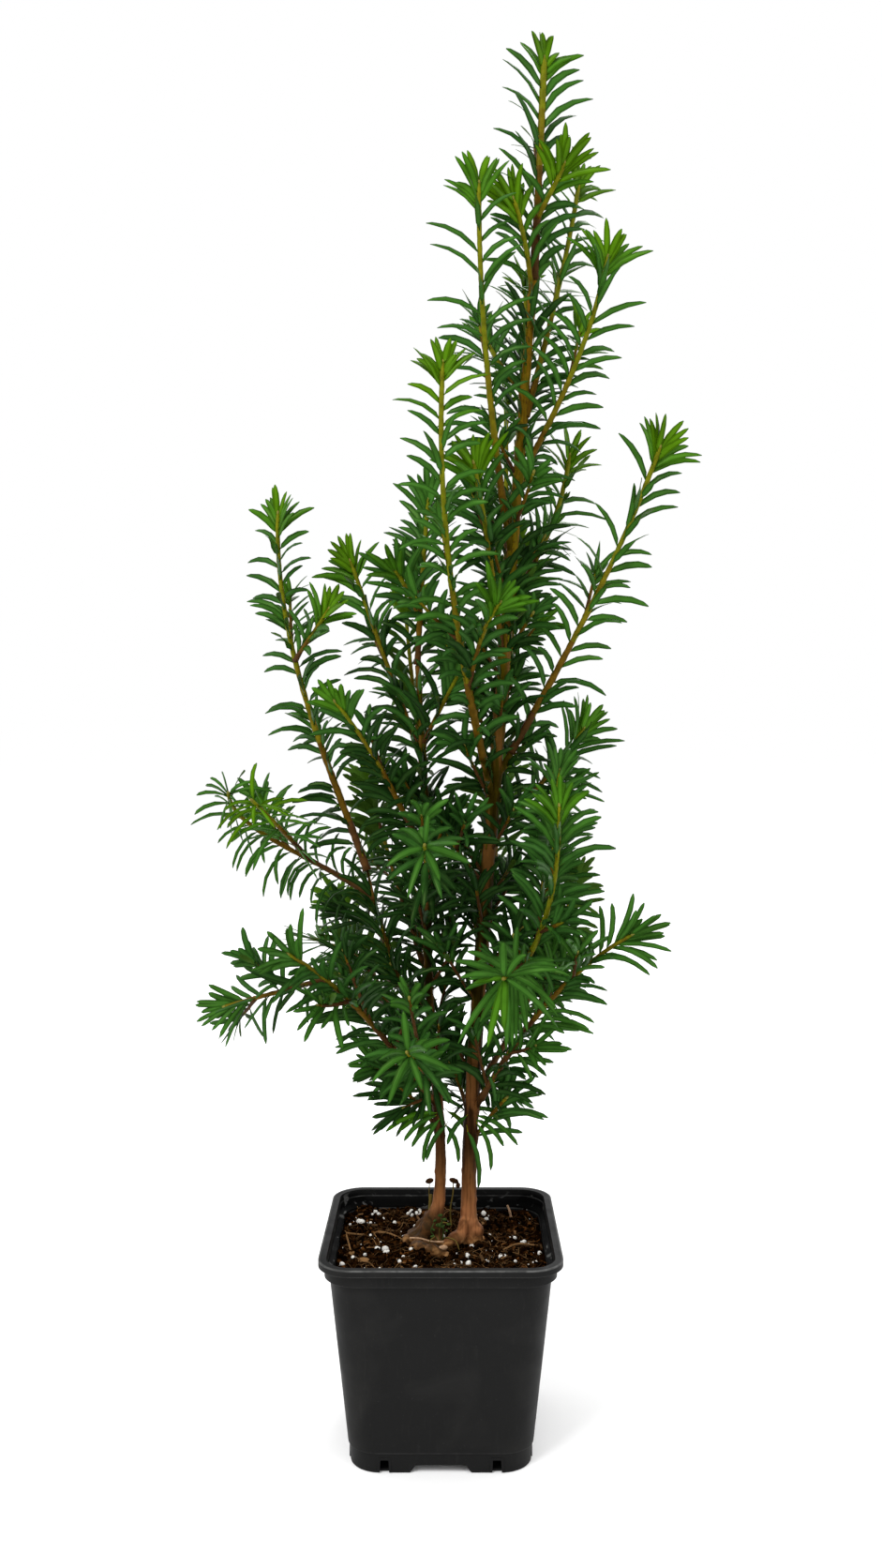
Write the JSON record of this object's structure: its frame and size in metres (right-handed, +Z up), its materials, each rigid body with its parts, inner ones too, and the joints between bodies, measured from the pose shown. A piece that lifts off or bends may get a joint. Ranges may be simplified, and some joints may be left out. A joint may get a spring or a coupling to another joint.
{
  "type": "english yew in a pot",
  "caption": "Young English yew with two stems, upright needled shoots and low spreading boughs, growing in a black square nursery pot filled with potting mix.",
  "frame": {"origin": "on the floor, under the middle of the square pot and of the crown", "axes": "+Z up along the height of the plant, -Y is the front, +X to the right seen from the front"},
  "size_m": [0.231, 0.2201, 0.6631],
  "materials": {
    "pot_plastic": "moulded black plastic, dull, with fine scuffs and a little dust",
    "potting_mix": "moist dark brown bark and peat crumbs",
    "stem_bark": "smooth brown bark with fine ridges and flakes, paler at the root crown",
    "young_wood": "orange-brown to yellow-green shoot skin, ribbed lengthwise",
    "needles": "leathery needles, glossy dark green above and bright yellow-green at the shoot tips"
  },
  "bodies": {
    "root": {"pot": "pot_plastic", "potting_mix": "potting_mix", "main_stem": "stem_bark", "left_stem": "stem_bark", "left_bough": "stem_bark", "bough_right_inner": "young_wood", "bough_right_outer": "young_wood", "bough_left_upper": "young_wood", "bough_left_mid": "young_wood", "bough_right_long": "young_wood", "bough_right_front": "young_wood", "bough_low_right": "young_wood", "bough_low_left": "young_wood", "bough_back_low_left": "young_wood", "bough_back_low_right": "young_wood", "bough_back_mid_right": "young_wood", "bough_back_mid_left": "young_wood", "bough_back_upper_right": "young_wood", "bough_back_upper_left": "young_wood", "bough_back_high": "young_wood", "needles_left_tall": "needles", "needles_left_arch": "needles", "needles_left_hidden": "needles", "needles_low_left_back": "needles", "needles_left_top": "needles", "needles_leader": "needles", "needles_top_left": "needles", "needles_right_inner": "needles", "needles_right_outer": "needles", "needles_left_upper": "needles", "needles_right_small": "needles", "needles_inner_front": "needles", "needles_left_mid": "needles", "needles_right_long": "needles", "needles_right_mid": "needles", "needles_right_back": "needles", "needles_right_front": "needles", "needles_low_right": "needles", "needles_front_left": "needles", "needles_low_front": "needles", "needles_low_left": "needles", "needles_inner_left": "needles", "needles_left_slim": "needles", "needles_back_low_left": "needles", "needles_back_low_right": "needles", "needles_back_mid_right": "needles", "needles_back_mid_left": "needles", "needles_back_upper_right": "needles", "needles_back_upper_left": "needles", "needles_back_high": "needles", "needles_back_top": "needles", "needles_spur_left_low": "needles", "needles_spur_left_high": "needles", "needles_spur_main_low": "needles", "needles_spur_main_mid": "needles", "needles_spur_main_high": "needles", "needles_foot_left": "needles", "needles_foot_right": "needles", "needles_foot_back": "needles"}
  },
  "joints": []
}
